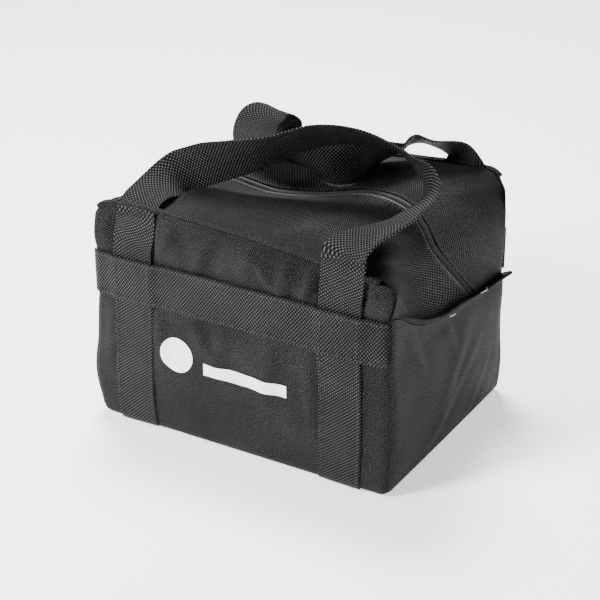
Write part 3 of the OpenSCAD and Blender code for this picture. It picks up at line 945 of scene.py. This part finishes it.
# ---------------------------------------------------------------- sewn webbing
def over_straps(x):
    """How far the band rises to pass over the straps."""
    rise = 0
    for middle in (-STRAP_X, STRAP_X):
        rise = rise + 1 - ramp(WEB_W / 2 - 1, WEB_W / 2 + 5, np.abs(x - middle))
    return WEB_T * rise


def wall_edge_in(x):
    """How far the front wall turns in near its corners."""
    over = np.clip(np.abs(x) - (HALF_W - CORNER_R), 0, CORNER_R * 0.7)
    return CORNER_R - np.sqrt(CORNER_R**2 - over**2)


def sewn_band(name, node, sign):
    """The band that crosses one wall from corner seam to corner seam."""
    x = np.linspace(-HALF_W + 2.2, HALF_W - 2.2, 118)
    middle = (BAND_Z + BAND_TOP) / 2 + 0.5 * ripple(x / 30, x * 0, 8)
    y = HALF_D + BAND_OFF + over_straps(x) - wall_edge_in(x)
    centres = slack(np.stack([x, sign * y, middle], axis=-1))
    made = webbing_piece(name, centres, np.tile([0.0, 0.0, 1.0], (len(x), 1)))
    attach(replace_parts(made, node), "bag")
    face = centres + np.array([0, sign * (WEB_T / 2 + STITCH_LIFT), 0])
    up = np.tile([0.0, float(sign), 0.0], (len(x), 1))
    rows = [(face + np.array([0, 0, d]), up) for d in (-WEB_W / 2 + EDGE_STITCH, WEB_W / 2 - EDGE_STITCH)]
    for middle_x in (-STRAP_X, STRAP_X):
        for side in (-1, 1):
            edge = middle_x + side * (WEB_W / 2 - 2.4)
            zs = np.linspace(BAND_Z + 3, BAND_TOP - 3, 10)
            at = np.full_like(zs, edge)
            y_post = np.full_like(zs, sign * (HALF_D + BAND_OFF + WEB_T))
            post = slack(np.stack([at, y_post, zs], axis=-1))
            post[:, 1] += sign * (WEB_T / 2 + STITCH_LIFT)
            rows.append((post, np.tile([0.0, float(sign), 0.0], (len(zs), 1))))
    stitch_rows(name + "_stitches", rows)


def sewn_strap(name, node, x, sign):
    """A strap sewn up a wall, from the bottom seam to under the band."""
    z = np.linspace(3.0, BAND_TOP - 4, 66)
    low = CORNER_R - np.sqrt(CORNER_R**2 - np.clip(CORNER_R - z, 0, CORNER_R * 0.7) ** 2)
    y = HALF_D + 0.75 - low
    at = x + 0.6 * ripple(z / 30, z * 0, abs(x) + sign)
    centres = slack(np.stack([at, sign * y, z], axis=-1))
    made = webbing_piece(name, centres, np.tile([1.0, 0.0, 0.0], (len(z), 1)))
    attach(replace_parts(made, node), "bag")
    face = centres[2:] + np.array([0, sign * (WEB_T / 2 + STITCH_LIFT), 0])
    up = np.tile([0.0, float(sign), 0.0], (len(face), 1))
    rows = [(face + np.array([d, 0, 0]), up) for d in (-WEB_W / 2 + EDGE_STITCH, WEB_W / 2 - EDGE_STITCH)]
    stitch_rows(name + "_stitches", rows)


def sewn_webbing():
    for sign, face in ((-1, "front"), (1, "rear")):
        sewn_band(f"{face}_band_web", f"{face}_band", sign)
        for side, x in (("left", -STRAP_X), ("right", STRAP_X)):
            sewn_strap(f"{face}_{side}_strap_web", f"{face}_{side}_strap", x, sign)


# ---------------------------------------------------------------- handles
# Each handle's own stations: across, behind its fold, above the fold, and the direction of
# its width, as it lies on the closed bag.
FRONT_LAY = [
    (-77, 0, 0, (-1, 0, 0)), (-76, 1, 4, (-1, 0, 0)), (-75, 9, 9, (-1, -0.1, 0)),
    (-72, 24, 13, (-0.95, -0.2, 0.2)), (-64, 37, 19, (-0.85, -0.3, 0.45)),
    (-46, 43, 27, (-0.65, -0.3, 0.65)), (-24, 48, 34, (-0.3, -0.5, 0.8)),
    (-3, 57, 41, (0, -0.7, 0.7)), (20, 74, 49, (0.2, -0.65, 0.7)),
    (45, 88, 49, (0.4, -0.7, 0.6)), (70, 95, 43, (0.5, -0.8, 0.4)),
    (90, 91, 33, (0.6, -0.75, 0.3)), (101, 82, 26, (0.65, -0.68, 0.33)),
    (104, 70, 20, (0.65, -0.68, 0.32)), (101, 50, 16, (0.65, -0.7, 0.3)),
    (97, 30, 15, (0.75, -0.65, 0.2)), (89, 11, 12, (0.95, -0.3, 0.05)),
    (84, 1, 5, (1, 0, 0)), (84, 0, 0, (1, 0, 0))]
REAR_LAY = [
    (-74, 0, 0, (-1, 0, 0)), (-74, 0, 5, (-1, 0, 0)), (-71, 3, 12, (-1, 0.1, 0)),
    (-66, 9, 20, (-0.95, 0.2, 0)), (-70, 16, 24, (-0.95, 0.25, 0.1)),
    (-74, 28, 22, (-0.9, 0.15, 0.35)), (-71, 42, 17, (-0.9, -0.45, 0.15)),
    (-60, 58, 13, (-0.8, -0.6, 0.1)), (-42, 71, 13, (-0.6, -0.7, 0.4)),
    (-20, 79, 17, (-0.3, -0.75, 0.6)), (0, 86, 20, (-0.1, -0.5, 0.85)),
    (20, 85, 21, (0, -0.2, 1)), (33, 74, 21, (0.1, -0.2, 1)),
    (37, 54, 20, (0.35, -0.5, 0.8)), (45, 36, 21, (0.4, -0.8, 0.45)),
    (51, 26, 26, (0.4, -0.75, 0.5)), (62, 18, 24, (0.4, -0.8, 0.4)),
    (76, 7, 19, (0.7, -0.5, 0.5)), (82, 2, 10, (0.95, -0.3, 0.2)),
    (82, 0, 4, (1, 0, 0)), (82, 0, 0, (1, 0, 0))]


def leg_stations(fold_x, strap_x, way):
    """Stations of one leg, from under the band up to its fold."""
    stations = []
    for z in (BAND_TOP - LEG_TUCK - HINGE_Z, -26, -14, -5):
        low = ramp(-5, -30, z)
        stations.append((fold_x * (1 - low) + strap_x * low, -0.9 + 0.4 * low, z, way))
    return stations


def handle(name, node, lay, sign):
    """A handle: two legs that come out from under the band, and the arch between them."""
    left = leg_stations(lay[0][0], -STRAP_X, (-1, 0, 0))
    right = leg_stations(lay[-1][0], STRAP_X, (1, 0, 0))
    stations = left + list(lay) + right[::-1]
    centres = np.array([(p[0], sign * (HINGE_Y - p[1]), HINGE_Z + p[2]) for p in stations])
    widths = np.array([p[3] for p in stations], float)
    fine = np.arange(0, len(stations) - 1 + 1e-9, 1 / 9)
    made = webbing_piece(name, through(centres, fine), through(widths, fine), cup=0.5)
    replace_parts(made, node)
    at = (0, sign * HINGE_Y * MM)
    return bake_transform(made)


# ---------------------------------------------------------------- print, slider, puller
def on_front(x, z, out):
    """Points just in front of the front wall's own cloth."""
    place, inner = round_edge(x, HALF_W)
    away = (1 - ramp(HALF_W - 14, HALF_W, np.abs(place))) * ramp(2, 16, z)
    inner = inner - (creases(place, z, FRONT_CREASES) + SWELL * ripple(place / 17, z / 15, 1)) * away
    return slack(np.stack([place, -(HALF_D - inner) - out, z], axis=-1))


def prints():
    """A plain disc and a plain bar, printed on the front between the straps."""
    low, high = corner("front_print", 0), corner("front_print", 1)
    radius = (high[2] - low[2]) / 2
    centre = (low[0] + radius, (low[2] + high[2]) / 2)
    bar_low = centre[1] - PRINT_DROP - PRINT_BAR_H / 2
    bar_left = centre[0] + radius + PRINT_GAP
    turns = np.linspace(0, 2 * math.pi, 73)
    ring, turn = np.meshgrid(np.linspace(0.02, 1, 14) * radius, turns, indexing="ij")
    disc = on_front(centre[0] + ring * np.cos(turn), centre[1] + ring * np.sin(turn), 0.35)
    x, z = np.meshgrid(np.linspace(bar_left, high[0], 40),
        np.linspace(bar_low, bar_low + PRINT_BAR_H, 9))
    bar = on_front(x, z, 0.35)
    disc = cloth_piece("print_disc", disc[:, ::-1], PRINT, thick=0.3)
    bar = cloth_piece("print_bar", bar, PRINT, thick=0.3)
    for made in (disc, bar):
        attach(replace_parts(made, "front_print"), "bag")


def metal_parts():
    """The slider and its puller keep their shapes and get lacquer."""
    for node in ("zip_slider", "zip_puller"):
        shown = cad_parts[node]
        shown.data.materials.clear()
        shown.data.materials.append(METAL)


# ---------------------------------------------------------------- studio
def studio():
    """Pale floor, soft lights and the camera."""
    floor = bpy.data.meshes.new("floor")
    reach = 6.0
    floor.from_pydata([(-reach, -reach, 0), (reach, -reach, 0), (reach, reach, 0),
        (-reach, reach, 0)], [], [(0, 1, 2, 3)])
    floor = bpy.data.objects.new("floor", floor)
    bpy.context.scene.collection.objects.link(floor)
    pale = Shader("pale_floor")
    cloud = pale.noise(pale.place(), 1.5, 2.0)
    floor.data.materials.append(pale.finish(
        Base_Color=pale.mix(cloud, grey(0.93), grey(0.96)), Roughness=0.9,
        Emission_Color=grey(1.0), Emission_Strength=1.0))

    world = bpy.data.worlds.new("studio")
    world.use_nodes = True
    back = world.node_tree.nodes["Background"]
    back.inputs[0].default_value = (1.0, 1.0, 1.0, 1.0)
    back.inputs[1].default_value = 0.3
    bpy.context.scene.world = world

    for name, place, power, size in (("key", (-0.75, -1.3, 1.05), 72, 0.4),
            ("top", (-0.5, 0.5, 1.7), 84, 0.6), ("right", (1.6, -0.1, 0.9), 1, 0.9)):
        lamp = bpy.data.lights.new(name, "AREA")
        lamp.energy = power
        lamp.size = size
        made = bpy.data.objects.new(name, lamp)
        made.location = place
        aim = Vector((0, 0, 0.1)) - Vector(place)
        made.rotation_euler = aim.to_track_quat("-Z", "Y").to_euler()
        bpy.context.scene.collection.objects.link(made)

    camera = bpy.data.cameras.new("camera")
    camera.sensor_width = 36
    camera.lens = 96
    camera.clip_end = 50
    made = bpy.data.objects.new("camera", camera)
    made.location = (0.530, -0.8976, 0.5813)
    aim = Vector((-0.0028, 0, 0.082)) - made.location
    made.rotation_euler = aim.to_track_quat("-Z", "Y").to_euler()
    bpy.context.scene.collection.objects.link(made)
    bpy.context.scene.camera = made


studio()
walls()
bottom()
top_cloth()
zip_parts()
side_hem("right_hem", "right_side_seam", 1, RIGHT_SEAM)
side_hem("left_hem", "left_side_seam", -1, LEFT_SEAM)
fold_ridge("front_fold_ridge", FRONT_FOLD, -1)
fold_ridge("rear_fold_ridge", BACK_FOLD, 1)
loose_threads()
sewn_webbing()
handle("front_handle_web", "front_handle", FRONT_LAY, -1)
handle("rear_handle_web", "rear_handle", REAR_LAY, 1)
prints()
metal_parts()
